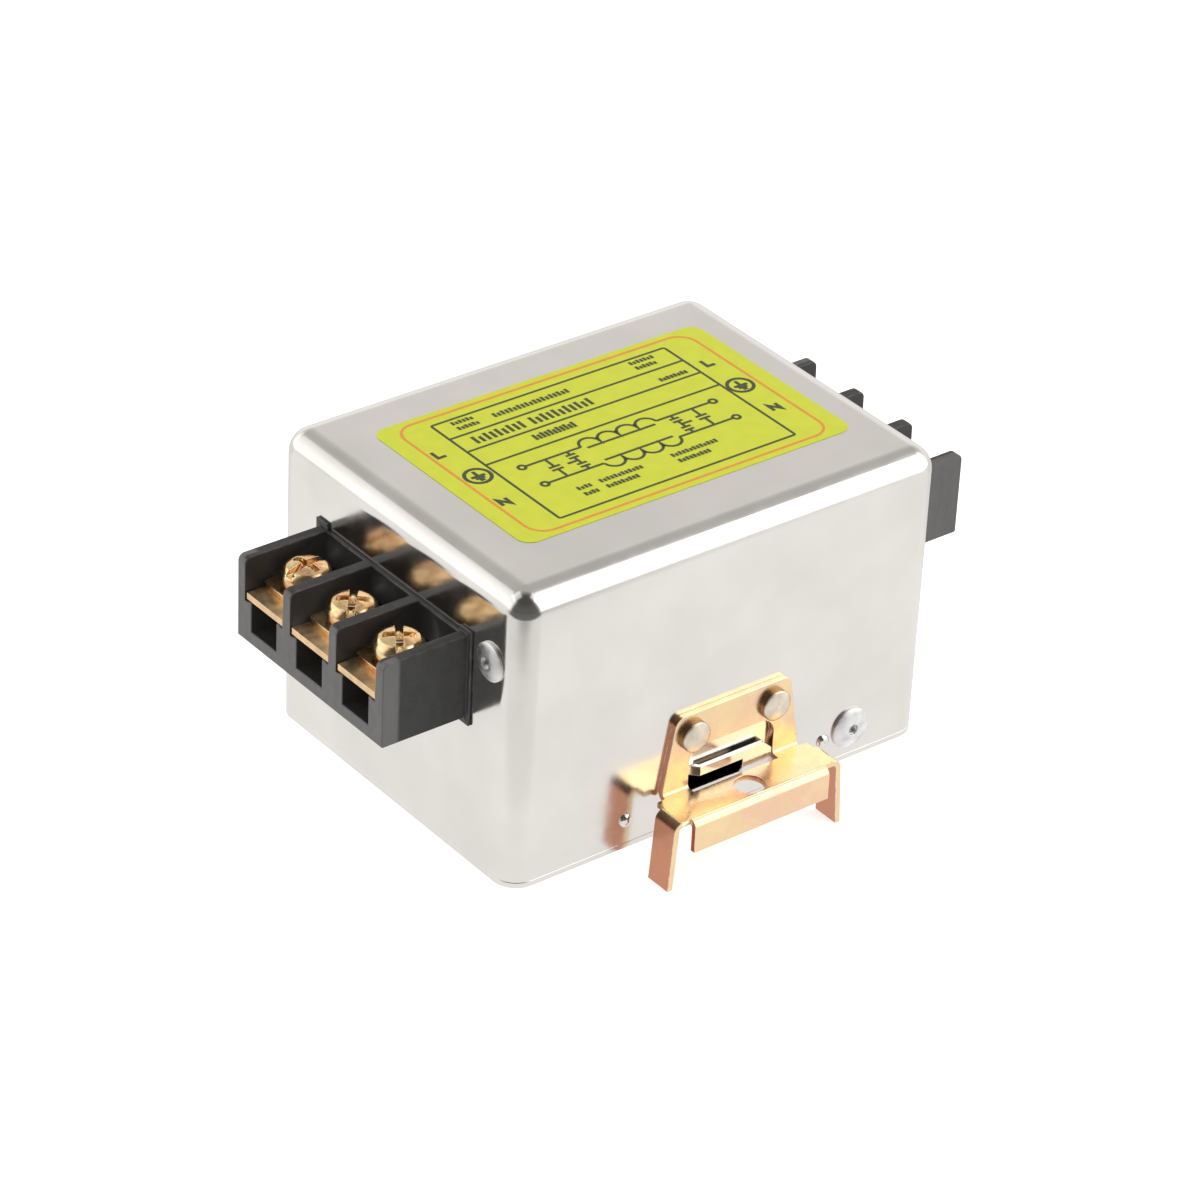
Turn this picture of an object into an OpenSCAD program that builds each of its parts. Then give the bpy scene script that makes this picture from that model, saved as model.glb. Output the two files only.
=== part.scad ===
// Single-phase EMI line filter in a drawn metal can, with a three-pole barrier
// terminal block on each end and a pair of clips that straddle a 35 mm rail.
// X runs from the input block to the output block, Z points up, and the origin
// lies under the middle of the case, level with the ends of the clip legs.

/* [Case] */
// Length of the case between its end walls
case_l = 100; // [95:0.5:120]
// Width of the case across its long walls
case_w = 76.6; // [76.4:0.2:90]
// Height of the case with its base plate
case_h = 63.5; // [58:0.5:75]
// Radius of the drawn top edges and of the upright corners
case_r = 5; // [3.5:0.25:5]
// Sheet thickness of the cover
cover_t = 1; // [0.8:0.1:1.5]
// Sheet thickness of the base plate and its upturned tabs
base_t = 1.2; // [0.8:0.1:2]
// Length of one upturned tab of the base plate
tab_l = 24; // [20:0.5:26]
// Height of the upturned tabs above the underside
tab_h = 13; // [12:0.5:15]
// Distance from the middle of the case to the near end of a tab
tab_x = 17.5; // [15:0.5:18]

/* [Cover details] */
// Distance of the fixing rivet from the middle of the case
fixing_x = 31.4; // [28:0.1:36]
// Height of the fixing rivet above the underside
fixing_z = 7.3; // [6.8:0.1:7.8]
// Head diameter of the fixing rivets
fixing_head_d = 8.6; // [7:0.1:9.5]
// Distance of each pressed pip from the middle of the case
pip_x = 24; // [21:0.1:25]
// Height of the pressed pips above the underside
pip_z = 6.4; // [5:0.1:8]
// Diameter of the pressed pips
pip_d = 2.8; // [2:0.1:4]
// Length of the lanced tongue behind each clip window
tongue_l = 19.4; // [18:0.1:20]
// Height of the tongue's neck
tongue_neck_h = 2; // [1.6:0.1:3]
// Length of the tongue's wider head
tongue_head_l = 7; // [5:0.1:8]
// Height of the slot that the tongue is cut from
tongue_slot_h = 5.4; // [4.8:0.1:6]
// How far the tongue is bent up past the top of its slot
tongue_lift = 0.7; // [0.2:0.1:1]
// Height of the middle of the slot above the underside
tongue_z = 9.9; // [9.7:0.1:10.2]
// Clear space between the wall and the tongue
tongue_gap = 0.8; // [0.4:0.1:1.2]

/* [Rating label] */
// Length of the label on the top face
label_l = 78; // [60:0.5:84]
// Width of the label on the top face
label_w = 49; // [36:0.5:60]
// Thickness of the label
label_t = 0.2; // [0.1:0.05:0.4]
// Corner radius of the label
label_r = 3; // [1:0.25:6]
// Distance of the label from the middle, towards the output end
label_x = 1.5; // [-2:0.5:2]
// Distance of the label from the middle, towards the rear wall
label_y = 1.5; // [-2:0.5:2]

/* [Terminal blocks] */
// Spacing of the line, earth and neutral terminals
pole_pitch = 14.8; // [14.4:0.1:15.2]
// Thickness of the barrier fins
fin_t = 2.4; // [1.6:0.1:2.8]
// Depth of the block in front of the end wall
block_d = 19.1; // [17.6:0.1:20]
// Height of the block from its underside to the tops of its fins
block_h = 17.8; // [17:0.1:20]
// Height of the block's underside above the underside of the case
block_z = 31.2; // [30:0.1:33]
// Height of the terminal strips' seats above the block's underside
seat_h = 9.2; // [8.6:0.1:10]
// Thickness of the block's back wall in front of the case
back_t = 0.9; // [0.6:0.1:2.4]
// How far the collar stands out round the block
collar_w = 1.3; // [0.6:0.1:2]
// Thickness of the collar
collar_t = 0.6; // [0.4:0.1:1.4]
// Radius of the fins' upper outer corner
fin_r = 1.4; // [1:0.1:3]
// Width of the pocket under each strip
pocket_w = 8.2; // [6.5:0.1:9]
// Height of the pocket under each strip
pocket_h = 6.4; // [5.6:0.1:6.6]
// Depth of the pocket under each strip
pocket_d = 13.4; // [12.8:0.1:14]
// Thickness of the ears inside the case
ear_t = 2.5; // [2:0.1:3]
// Height of the ears inside the case
ear_h = 10; // [9:0.5:12]

/* [Terminal hardware] */
// Width of a terminal strip
strip_w = 11.8; // [10:0.1:11.8]
// Thickness of a terminal strip
strip_t = 1.4; // [1:0.1:2]
// Length of the strip's tag inside the case, past the ears
tag_l = 3.8; // [3.2:0.1:4]
// Distance of each screw from the end wall
screw_x = 9.4; // [9:0.1:9.8]
// Thread diameter of the terminal screws
screw_d = 5; // [4:0.5:5]
// Head diameter of the terminal screws
screw_head_d = 10; // [8.5:0.1:10.4]
// Head height of the terminal screws
screw_head_h = 3.7; // [3.2:0.1:4]
// Length of the terminal screws under the head
screw_l = 9; // [7.5:0.1:9.2]
// Side of the square clamp plates
clamp_w = 11.8; // [10:0.1:12]
// Thickness of the clamp plates
clamp_t = 1.4; // [0.8:0.1:1.6]
// Outer diameter of the spring washers
washer_d = 9; // [7.6:0.1:9.4]
// Thickness of the spring washers
washer_t = 1.2; // [0.8:0.1:1.4]

/* [Rivets] */
// Distance of each block rivet from the side of its block
block_rivet_y = 6.8; // [6.2:0.1:7]
// Height of each block's upper rivet above the block's underside
block_rivet_z = 15.7; // [15:0.1:17]
// Head diameter of the block rivets
block_rivet_head_d = 7.8; // [6:0.1:8]
// Shank diameter of the blind rivets
rivet_d = 4; // [3.2:0.1:4.4]
// Height of the blind rivets' domed heads
rivet_head_h = 1.4; // [1:0.1:2]
// Diameter of the mandrel hole in the blind rivets
mandrel_d = 2.2; // [1.6:0.1:2.4]
// Head diameter of the flat rivets in the clips
clip_rivet_head_d = 6.4; // [6:0.1:8]
// Height of the flat rivets' heads
clip_rivet_head_h = 1.7; // [1.4:0.1:2.4]

/* [Rail clips] */
// Distance of the clips from the middle, towards the output end
clip_x = 0.8; // [-1:0.1:1]
// Sheet thickness of the clips
clip_t = 1.2; // [1:0.1:1.5]
// Inner radius of the clips' bends
clip_bend_r = 0.8; // [0.5:0.1:1.2]
// Width of the clip's plate at its foot
plate_foot_w = 32.8; // [31:0.1:34]
// Width of the clip's plate at its top
plate_top_w = 28; // [27:0.1:30]
// Height of the top of the plate above the underside of the case
plate_z = 25.8; // [25.2:0.1:28]
// Corner radius at the top of the plate
plate_r = 2; // [1:0.1:3]
// Height of the clip's shelf above the underside of the case
shelf_z = 9.4; // [9:0.1:9.8]
// Distance from the case wall to the outer face of the front lip
shelf_d = 11.4; // [11:0.1:13]
// Clear width between the legs under the shelf, for a 35 mm rail
leg_gap = 38; // [36:0.5:40]
// Width of each leg
leg_w = 6; // [5:0.1:6.4]
// Distance of each leg from the case wall
leg_y = 4; // [3.6:0.1:4.4]
// How far the legs reach below the underside of the case
leg_drop = 5.5; // [4.5:0.1:8]
// Outward lean of the legs
leg_lean = 4; // [0:0.5:6]
// Width of the front lip
lip_w = 32.6; // [28:0.1:33]
// Height of the front lip
lip_h = 7; // [5:0.1:9]
// Width of the window in the plate and fold
window_w = 20.4; // [20.4:0.1:21]
// Height of the top of the window above the underside of the case
window_z = 17.8; // [16:0.1:18]
// Radius of the window's upper corners
window_r = 3.4; // [2.8:0.1:4]
// Diameter of the hole in the shelf
shelf_hole_d = 6; // [5:0.1:7]
// Distance of each clip rivet from the middle of its clip
clip_rivet_x = 9.7; // [9.5:0.1:10]
// Height of the clip rivets above the underside of the case
clip_rivet_z = 21; // [20.8:0.1:21.4]

/* [Circuit inside] */
// Thickness of the circuit board
board_t = 1.6; // [1.2:0.2:2.4]
// Height of the pillars that carry the circuit board
pillar_h = 6; // [4:0.5:7]
// Diameter of the pillars
pillar_d = 6; // [5:0.5:7]
// Thread diameter of the board screws
board_screw_d = 3; // [2.5:0.5:3]
// Outer diameter of the toroidal choke core
core_d = 40; // [36:0.5:42]
// Bore diameter of the choke core
core_bore_d = 23; // [21:0.5:25]
// Height of the choke core
core_h = 15; // [10:0.5:20]
// Thickness of the choke wire
wire_t = 2.2; // [1.4:0.1:2.4]
// Number of turns in each winding
turn_count = 8; // [4:1:8]
// Length of an X capacitor along the case's width
x_cap_w = 32; // [20:0.5:36]
// Thickness of an X capacitor
x_cap_t = 13; // [8:0.5:13]
// Height of an X capacitor
x_cap_h = 24; // [14:0.5:30]
// Diameter of a Y capacitor's disc
y_cap_d = 9; // [6:0.5:11]
// Thickness of a Y capacitor's disc
y_cap_t = 4; // [3:0.25:5]
// Diameter of the bleed resistor
resistor_d = 4.5; // [3:0.25:6]
// Length of the bleed resistor
resistor_l = 12; // [8:0.5:14]
// Diameter of the wires from the terminals to the board
lead_d = 2.2; // [1.6:0.1:2.4]

/* [Hidden] */

$fn = 48;

// Length added to every cut so that it passes clean through its faces
over = 1;
// Clearance of shanks, screws and tags in their holes and slots
clear = 0.1;
// Clearance between pieces that lie loosely beside each other
play = 0.2;

// The underside of the case above the ends of the clip legs
case_z = leg_drop;
// The three terminals of a block, with the earth terminal in the middle
poles = [-1, 0, 1];
pole_count = len(poles);
// The two sides of whatever stands in a pair
sides = [-1, 1];

block_w = pole_count * pole_pitch + fin_t;
cell_w = pole_pitch - fin_t;
ear_rivet_y = block_w / 2 + block_rivet_y;
ear_root = block_w / 2 - 3;
ear_l = ear_rivet_y + rivet_d / 2 + 0.8 - ear_root;
// How far each block rivet stands above or below the block's middle
ear_rise = block_rivet_z - block_h / 2;
// Radius of the blocks' lower outer edge
block_foot_r = 0.4;
// Round shoulder, slot and turn of the terminal screws' heads
screw_shoulder_r = 2.7;
slot_w = 1.4;
slot_depth = 1.5;
slot_turns = [8, 50, 56];
tag_end = cover_t + ear_t + tag_l;
lead_x = tag_end - tag_l / 2;

floor_z = case_z + base_t;
board_z = floor_z + pillar_h;
board_top = board_z + board_t;
board_l = case_l - 2 * cover_t - 4;
board_w = case_w - 2 * (cover_t + base_t) - 8;
spigot_d = pillar_d - 1.6;
pillar_x = board_l / 2 - pillar_d;
pillar_y = board_w / 2 - pillar_d / 2 - 1;

carrier_t = 2;
winding_gap = 0.3;
winding_base = board_top + carrier_t;
core_z = winding_base + wire_t + winding_gap;
carrier_r = core_d / 2 + winding_gap + wire_t + 1;
x_cap_x = case_l / 2 - lead_x - lead_d / 2 - play - 1 - x_cap_t / 2;
small_part_x = 23;
small_part_y = board_w / 2 - 4;

leg_x = leg_gap / 2 + clip_t;
bend_out = clip_bend_r + clip_t;

// Places what belongs to an end wall: +X leads out of the wall, and Z starts
// at the underside of the terminal block
module at_end(side)
    translate([side * case_l / 2, 0, case_z + block_z])
        rotate([0, 0, side > 0 ? 0 : 180])
            children();

// Places what belongs to a long wall: -Y leads out of the wall, and Z starts
// at the underside of the case
module at_wall(side)
    mirror([0, side > 0 ? 1 : 0, 0])
        translate([0, -case_w / 2, case_z])
            children();

// Flat outline with round corners, centred
module round_rect(l, w, r) {
    square([l - 2 * r, w], center = true);
    square([l, w - 2 * r], center = true);
    for (x = sides, y = sides)
        translate([x * (l / 2 - r), y * (w / 2 - r)])
            circle(r);
}

// Plate with round corners that stands on z = 0
module round_plate(l, w, t, r)
    linear_extrude(t)
        round_rect(l, w, r);

// Solid block with one radius on its upright corners and top edges
module drawn_block(l, w, h, r) {
    cube_l = l - 2 * r;
    cube_w = w - 2 * r;
    translate([-cube_l / 2, -cube_w / 2, 0])
        cube([cube_l, cube_w, h]);
    for (a = [0, 180])
        rotate([0, 0, a]) {
            translate([-cube_l / 2, cube_w / 2, 0])
                rotate([90, 0, 90])
                    linear_extrude(cube_l)
                        edge_profile(h, r);
            translate([cube_l / 2, cube_w / 2, 0])
                rotate([90, 0, 0])
                    linear_extrude(cube_w)
                        edge_profile(h, r);
            translate([cube_l / 2, cube_w / 2, 0])
                rotate_extrude(angle = 90)
                    edge_profile(h, r);
            translate([-cube_l / 2, cube_w / 2, 0])
                rotate([0, 0, 90])
                    rotate_extrude(angle = 90)
                        edge_profile(h, r);
        }
}

// Upright section along a drawn edge: a wall band with its outer corner round
module edge_profile(h, r) {
    square([r, h - r]);
    translate([0, h - r])
        intersection() {
            circle(r);
            square(r);
        }
}

// Blind rivet along -Z from its seat, with its head above the seat
module blind_rivet(head_d, grip) {
    tail_d = rivet_d + 1.4;
    tail_l = 3;
    difference() {
        union() {
            rivet_dome(head_d, rivet_head_h);
            translate([0, 0, -grip])
                cylinder(d = rivet_d, h = grip + rivet_head_h / 2);
            translate([0, 0, -grip - tail_l])
                cylinder(d1 = rivet_d, d2 = tail_d, h = tail_l);
        }
        translate([0, 0, rivet_head_h - rivet_head_h * 0.8])
            cylinder(d = mandrel_d, h = rivet_head_h + over);
    }
}

// Low domed head on z = 0 with a short upright rim
module rivet_dome(d, h) {
    rim = h * 0.35;
    rise = h - rim;
    sphere_r = (d * d / 4 + rise * rise) / (2 * rise);
    rotate_extrude()
        union() {
            square([d / 2, rim]);
            intersection() {
                translate([0, h - sphere_r])
                    circle(sphere_r, $fn = 96);
                square([d / 2, h]);
            }
        }
}

// Flat head on z = 0 with an upright side, a round shoulder and a faint crown
module pan_head(d, h, shoulder) {
    crown_r = d * 1.6;
    rotate_extrude()
        intersection() {
            union() {
                square([d / 2, h - shoulder]);
                square([d / 2 - shoulder, h]);
                translate([d / 2 - shoulder, h - shoulder])
                    circle(shoulder);
            }
            translate([0, h - crown_r])
                circle(crown_r, $fn = 96);
            square([d / 2, h]);
        }
}

// Hole for a rivet shank along Z
module rivet_hole(grip)
    translate([0, 0, -grip - over])
        cylinder(d = rivet_d + 2 * clear, h = grip + 2 * over);

// Bent corner of sheet, width along Z, from the +X side round to the +Y side
module sheet_bend(width)
    rotate_extrude(angle = 90)
        translate([clip_bend_r, 0])
            square([clip_t, width]);

// ---------------------------------------------------------------- case

module case_cover()
    color("silver")
        difference() {
            union() {
                cover_shell();
                for (side = sides)
                    at_wall(side) {
                        tongue();
                        pips();
                    }
            }
            fixing_holes();
            for (side = sides) {
                at_wall(side)
                    translate([clip_x, 0, 0])
                        at_clip_rivets()
                            rivet_hole(clip_t + cover_t);
                at_end(side)
                    end_wall_holes();
            }
        }

// Drawn can that stands on the base plate, with a slot cut for each tongue
module cover_shell()
    difference() {
        translate([0, 0, floor_z])
            drawn_block(case_l, case_w, case_h - base_t, case_r);
        translate([0, 0, floor_z - over])
            drawn_block(case_l - 2 * cover_t, case_w - 2 * cover_t,
                        case_h - base_t - cover_t + over, case_r - cover_t);
        for (side = sides)
            at_wall(side)
                translate([clip_x - tongue_l / 2, -over, tongue_z - tongue_slot_h / 2])
                    cube([tongue_l, cover_t + 2 * over, tongue_slot_h]);
    }

// Tongue lanced from the wall: a joggled neck along the top of the slot that
// ends in a wider, blunt-pointed head
module tongue() {
    step = tongue_gap + cover_t;
    head_x = tongue_l / 2 - play - tongue_head_l;
    head_h = tongue_slot_h + tongue_lift - 2 * play;
    tip = 2;
    translate([clip_x, 0, tongue_z + tongue_slot_h / 2 + tongue_lift]) {
        translate([0, 0, -tongue_neck_h])
            linear_extrude(tongue_neck_h)
                polygon([
                    [-tongue_l / 2, 0],
                    [step - tongue_l / 2, -step],
                    [head_x + 1, -step],
                    [head_x + 1, -tongue_gap],
                    [step - tongue_l / 2 + cover_t * 0.4, -tongue_gap],
                    [cover_t * 0.4 - tongue_l / 2, cover_t],
                    [-tongue_l / 2, cover_t]
                ]);
        translate([head_x, -tongue_gap, -head_h])
            rotate([90, 0, 0])
                linear_extrude(cover_t)
                    polygon([
                        [0, 0],
                        [tongue_head_l - tip, 0],
                        [tongue_head_l, head_h / 2 - tip / 2],
                        [tongue_head_l, head_h / 2 + tip / 2],
                        [tongue_head_l - tip, head_h],
                        [0, head_h]
                    ]);
    }
}

// Small domes pressed out of the wall on both sides of the clip
module pips()
    for (side = sides)
        translate([clip_x + side * pip_x, 0, pip_z])
            rotate([90, 0, 0])
                rivet_dome(pip_d, pip_d * 0.3);

// The fixing rivets stand at opposite corners, one on each long wall
module at_fixings()
    for (side = sides)
        at_wall(side)
            translate([-side * fixing_x, 0, fixing_z])
                rotate([90, 0, 0])
                    children();

module fixing_holes()
    at_fixings()
        rivet_hole(cover_t + base_t);

// Window for the block's neck, and the holes of its two rivets
module end_wall_holes() {
    translate([-cover_t - over, -block_w / 2 - clear, -clear])
        cube([cover_t + 2 * over, block_w + 2 * clear, block_h + 2 * clear]);
    at_block_rivets()
        rivet_hole(cover_t);
}

// Each block is held by two rivets, beside opposite corners
module at_block_rivets()
    for (side = sides)
        translate([0, side * ear_rivet_y, block_h / 2 + side * ear_rise])
            rotate([0, 90, 0])
                children();

module base_plate()
    color("gainsboro")
        difference() {
            union() {
                translate([0, 0, case_z])
                    round_plate(case_l, case_w, base_t, case_r);
                for (side = sides)
                    at_wall(side)
                        base_tabs();
            }
            fixing_holes();
            at_pillars()
                translate([0, 0, -over])
                    cylinder(d = spigot_d + 2 * clear, h = base_t + 2 * over);
        }

// Two upturned tabs that lie against the inside of a long wall
module base_tabs()
    for (side = sides)
        translate([side * (tab_x + tab_l / 2), cover_t, 0])
            rotate([-90, 0, 0])
                mirror([0, 1, 0])
                    linear_extrude(base_t)
                        intersection() {
                            translate([0, tab_h / 2 - tab_h])
                                round_rect(tab_l, 3 * tab_h, 2);
                            translate([-tab_l, 0])
                                square([2 * tab_l, tab_h]);
                        }

module cover_rivets()
    color("lightgray")
        at_fixings()
            blind_rivet(fixing_head_d, cover_t + base_t);

module rating_label()
    color("yellowgreen")
        translate([label_x, label_y, case_z + case_h])
            round_plate(label_l, label_w, label_t, label_r);

// ---------------------------------------------------------------- terminal blocks

// Moulded barrier block: a body with three cells between four fins, a collar
// on the case wall, and a neck through the wall that ends in two ears
module terminal_block()
    color("dimgray")
        difference() {
            union() {
                block_body();
                for (i = [0 : pole_count])
                    translate([0, i * pole_pitch - block_w / 2, 0])
                        barrier_fin();
                block_collar();
                block_neck();
            }
            for (pole = poles)
                translate([0, pole * pole_pitch, 0])
                    pole_cuts();
            at_block_rivets()
                rivet_hole(cover_t + ear_t);
        }

// Ledge under the strips and the back wall behind them
module block_body() {
    translate([0, block_w / 2, 0])
        rotate([90, 0, 0])
            linear_extrude(block_w)
                block_section(seat_h, block_foot_r);
    translate([0, -block_w / 2, 0])
        cube([back_t, block_w, block_h]);
}

module barrier_fin()
    translate([0, fin_t, 0])
        rotate([90, 0, 0])
            linear_extrude(fin_t)
                block_section(block_h, fin_r);

// Upright section from the case wall to the front, with its outer corners round
module block_section(h, top_r) {
    square([block_d - top_r, h]);
    square([block_d - block_foot_r, h - top_r]);
    translate([0, block_foot_r])
        square([block_d, h - top_r - block_foot_r]);
    translate([block_d - top_r, h - top_r])
        circle(top_r);
    translate([block_d - block_foot_r, block_foot_r])
        circle(block_foot_r);
}

module block_collar()
    translate([0, -block_w / 2 - collar_w, -collar_w])
        difference() {
            cube([collar_t, block_w + 2 * collar_w, block_h + 2 * collar_w]);
            translate([-over, collar_w + fin_t, collar_w + block_h])
                cube([collar_t + 2 * over, block_w - 2 * fin_t, collar_w + over]);
        }

module block_neck() {
    translate([-cover_t - ear_t, -block_w / 2, 0])
        cube([cover_t + ear_t, block_w, block_h]);
    for (side = sides)
        translate([-cover_t - ear_t, side * (ear_root + ear_l / 2),
                   block_h / 2 + side * ear_rise])
            rotate([90, 0, 90])
                linear_extrude(ear_t)
                    round_rect(ear_l, ear_h, 2);
}

// Slot for one strip, the pocket under it and room for the screw
module pole_cuts() {
    translate([-cover_t - ear_t - over, -strip_w / 2 - clear, seat_h])
        cube([cover_t + ear_t + back_t + 2 * over, strip_w + 2 * clear, strip_t + clear]);
    translate([block_d - pocket_d, -pocket_w / 2, seat_h - pocket_h])
        cube([pocket_d + over, pocket_w, pocket_h + over]);
}

module input_terminal_block() at_end(-1) terminal_block();
module output_terminal_block() at_end(1) terminal_block();

// Flat strip that carries the screw outside and ends as a tag inside
module terminal_strips()
    color("goldenrod")
        for (pole = poles)
            translate([0, pole * pole_pitch, seat_h])
                difference() {
                    translate([-tag_end, -strip_w / 2, 0])
                        cube([tag_end + block_d - play, strip_w, strip_t]);
                    translate([screw_x, 0, -over])
                        cylinder(d = screw_d + 2 * clear, h = strip_t + 2 * over);
                }

module input_terminal_strips() at_end(-1) terminal_strips();
module output_terminal_strips() at_end(1) terminal_strips();

// Repeats its children on the axis of each terminal screw, from the strip up
module at_screws(above)
    for (pole = poles)
        translate([screw_x, pole * pole_pitch, seat_h + strip_t + above])
            children();

module clamp_plates()
    color("gold")
        at_screws(0)
            difference() {
                round_plate(clamp_w, clamp_w, clamp_t, 1);
                translate([0, 0, -over])
                    cylinder(d = screw_d + 4 * clear, h = clamp_t + 2 * over);
            }

module input_clamp_plates() at_end(-1) clamp_plates();
module output_clamp_plates() at_end(1) clamp_plates();

// Split ring under each screw head
module spring_washers()
    color("khaki")
        at_screws(clamp_t)
            difference() {
                cylinder(d = washer_d, h = washer_t);
                translate([0, 0, -over])
                    cylinder(d = screw_d + 4 * clear, h = washer_t + 2 * over);
                rotate([0, 0, 60])
                    translate([0, -0.4, -over])
                        cube([washer_d, 0.8, washer_t + 2 * over]);
            }

module input_spring_washers() at_end(-1) spring_washers();
module output_spring_washers() at_end(1) spring_washers();

// Pan-head screws with a cross recess, one arm of which runs out as a slot
module terminal_screws()
    color("gold")
        for (pole = poles)
            translate([screw_x, pole * pole_pitch, seat_h + strip_t + clamp_t + washer_t])
                rotate([0, 0, slot_turns[pole + 1]])
                    difference() {
                        union() {
                            pan_head(screw_head_d, screw_head_h, screw_shoulder_r);
                            translate([0, 0, -screw_l])
                                cylinder(d = screw_d, h = screw_l);
                        }
                        screw_recess();
                    }

module screw_recess()
    translate([0, 0, screw_head_h - slot_depth]) {
        translate([-screw_head_d / 2 - over, -slot_w / 2, 0])
            cube([screw_head_d + 2 * over, slot_w, slot_depth + over]);
        translate([-slot_w / 2, -screw_head_d * 0.31, -0.5])
            cube([slot_w, screw_head_d * 0.62, slot_depth + over]);
    }

module input_terminal_screws() at_end(-1) terminal_screws();
module output_terminal_screws() at_end(1) terminal_screws();

module block_rivets()
    color("lightgray")
        at_block_rivets()
            blind_rivet(block_rivet_head_d, cover_t + ear_t);

module input_block_rivets() at_end(-1) block_rivets();
module output_block_rivets() at_end(1) block_rivets();

// ---------------------------------------------------------------- rail clips

// Folded clip: a plate on the case wall, a shelf at its foot, a lip along the
// shelf's edge and a leg at each of its ends
module rail_clip()
    color("sandybrown")
        translate([clip_x, 0, 0])
            difference() {
                union() {
                    clip_plate();
                    clip_shelf();
                    for (side = sides)
                        mirror([side > 0 ? 1 : 0, 0, 0])
                            clip_leg();
                }
                clip_window();
                translate([0, -leg_y - leg_w / 2, shelf_z - clip_t - over])
                    cylinder(d = shelf_hole_d, h = clip_t + 2 * over);
                at_clip_rivets()
                    rivet_hole(clip_t);
            }

// Upright plate that narrows towards its round top corners
module clip_plate() {
    lean = (plate_foot_w - plate_top_w) / 2 / (plate_z - shelf_z);
    top_x = plate_top_w / 2 - plate_r;
    top_z = plate_z - plate_r;
    foot_z = shelf_z + clip_bend_r;
    foot_x = plate_foot_w / 2;
    side_x = top_x + plate_r / sqrt(1 + lean * lean);
    side_z = top_z + plate_r * lean / sqrt(1 + lean * lean);
    rotate([90, 0, 0])
        linear_extrude(clip_t)
            union() {
                polygon([
                    [-foot_x, foot_z], [foot_x, foot_z],
                    [side_x, side_z], [top_x, top_z + plate_r],
                    [-top_x, top_z + plate_r], [-side_x, side_z]
                ]);
                for (side = sides)
                    translate([side * top_x, top_z])
                        circle(plate_r);
            }
    translate([-foot_x, -bend_out, shelf_z + clip_bend_r])
        rotate([90, 0, 90])
            mirror([0, 1, 0])
                sheet_bend(plate_foot_w);
}

// Flat shelf, the bend at its outer edge and the lip that hangs from it
module clip_shelf() {
    shelf_x = leg_x - bend_out;
    translate([-shelf_x, -leg_y - leg_w, shelf_z - clip_t])
        cube([2 * shelf_x, leg_y + leg_w - bend_out, clip_t]);
    translate([-lip_w / 2, -shelf_d + bend_out, shelf_z - clip_t])
        cube([lip_w, shelf_d - 2 * bend_out, clip_t]);
    translate([-lip_w / 2, -shelf_d + bend_out, shelf_z - bend_out])
        rotate([90, 0, 90])
            mirror([1, 0, 0])
                sheet_bend(lip_w);
    translate([0, -shelf_d + clip_t, shelf_z - bend_out])
        rotate([90, 0, 0])
            linear_extrude(clip_t)
                intersection() {
                    translate([0, -lip_h / 2 + bend_out / 2])
                        translate([0, lip_h / 2])
                            round_rect(lip_w, 2 * (lip_h - bend_out) + lip_h, 1.5);
                    translate([-lip_w, bend_out - lip_h])
                        square([2 * lip_w, lip_h - bend_out]);
                }
}

// Leg at the +X end of the shelf, bent down past a right angle
module clip_leg() {
    length = shelf_z - bend_out + leg_drop;
    translate([leg_x - bend_out, 0, shelf_z - bend_out]) {
        translate([0, -leg_y, 0])
            rotate([90, 0, 0])
                rotate([0, 0, leg_lean])
                    rotate_extrude(angle = 90 - leg_lean)
                        translate([clip_bend_r, 0])
                            square([clip_t, leg_w]);
        intersection() {
            rotate([0, -leg_lean, 0])
                translate([clip_bend_r, -leg_y - leg_w, -length - over])
                    cube([clip_t, leg_w, length + over]);
            translate([-over, -leg_y - leg_w - over, -length])
                cube([2 * bend_out + length, leg_w + 2 * over, length + 2 * over]);
        }
    }
}

// Window that opens the plate and the fold in front of the tongue
module clip_window() {
    low_z = shelf_z - bend_out;
    translate([0, over, 0])
        rotate([90, 0, 0])
            linear_extrude(bend_out + over + 1)
                union() {
                    translate([-window_w / 2, low_z])
                        square([window_w, window_z - window_r - low_z]);
                    translate([window_r - window_w / 2, low_z])
                        square([window_w - 2 * window_r, window_z - low_z]);
                    for (side = sides)
                        translate([side * (window_w / 2 - window_r), window_z - window_r])
                            circle(window_r);
                }
}

module at_clip_rivets()
    for (side = sides)
        translate([side * clip_rivet_x, 0, clip_rivet_z])
            rotate([90, 0, 0])
                translate([0, 0, clip_t])
                    children();

module front_rail_clip() at_wall(-1) rail_clip();
module rear_rail_clip() at_wall(1) rail_clip();

// Flat-headed rivets through the clip's plate and the case wall
module clip_rivets() {
    grip = clip_t + cover_t;
    color("ivory")
        translate([clip_x, 0, 0])
            at_clip_rivets() {
                pan_head(clip_rivet_head_d, clip_rivet_head_h, clip_rivet_head_h / 3);
                translate([0, 0, -grip])
                    cylinder(d = rivet_d, h = grip + clip_rivet_head_h / 2);
                translate([0, 0, -grip - 1.2])
                    cylinder(d = rivet_d + 2, h = 1.2);
            }
}

module front_clip_rivets() at_wall(-1) clip_rivets();
module rear_clip_rivets() at_wall(1) clip_rivets();

// ---------------------------------------------------------------- circuit

module at_pillars()
    for (x = sides, y = sides)
        translate([x * pillar_x, y * pillar_y, case_z])
            children();

module circuit_board()
    color("seagreen")
        difference() {
            translate([0, 0, board_z])
                round_plate(board_l, board_w, board_t, 2);
            at_pillars()
                cylinder(d = board_screw_d + 4 * clear, h = board_top);
        }

// Tapped pillars whose spigots are pressed into the base plate
module board_pillars()
    color("silver")
        at_pillars()
            difference() {
                union() {
                    cylinder(d = spigot_d, h = base_t);
                    translate([0, 0, base_t])
                        cylinder(d = pillar_d, h = pillar_h);
                }
                translate([0, 0, base_t + 0.6])
                    cylinder(d = board_screw_d + 2 * clear, h = pillar_h + over);
            }

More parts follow.
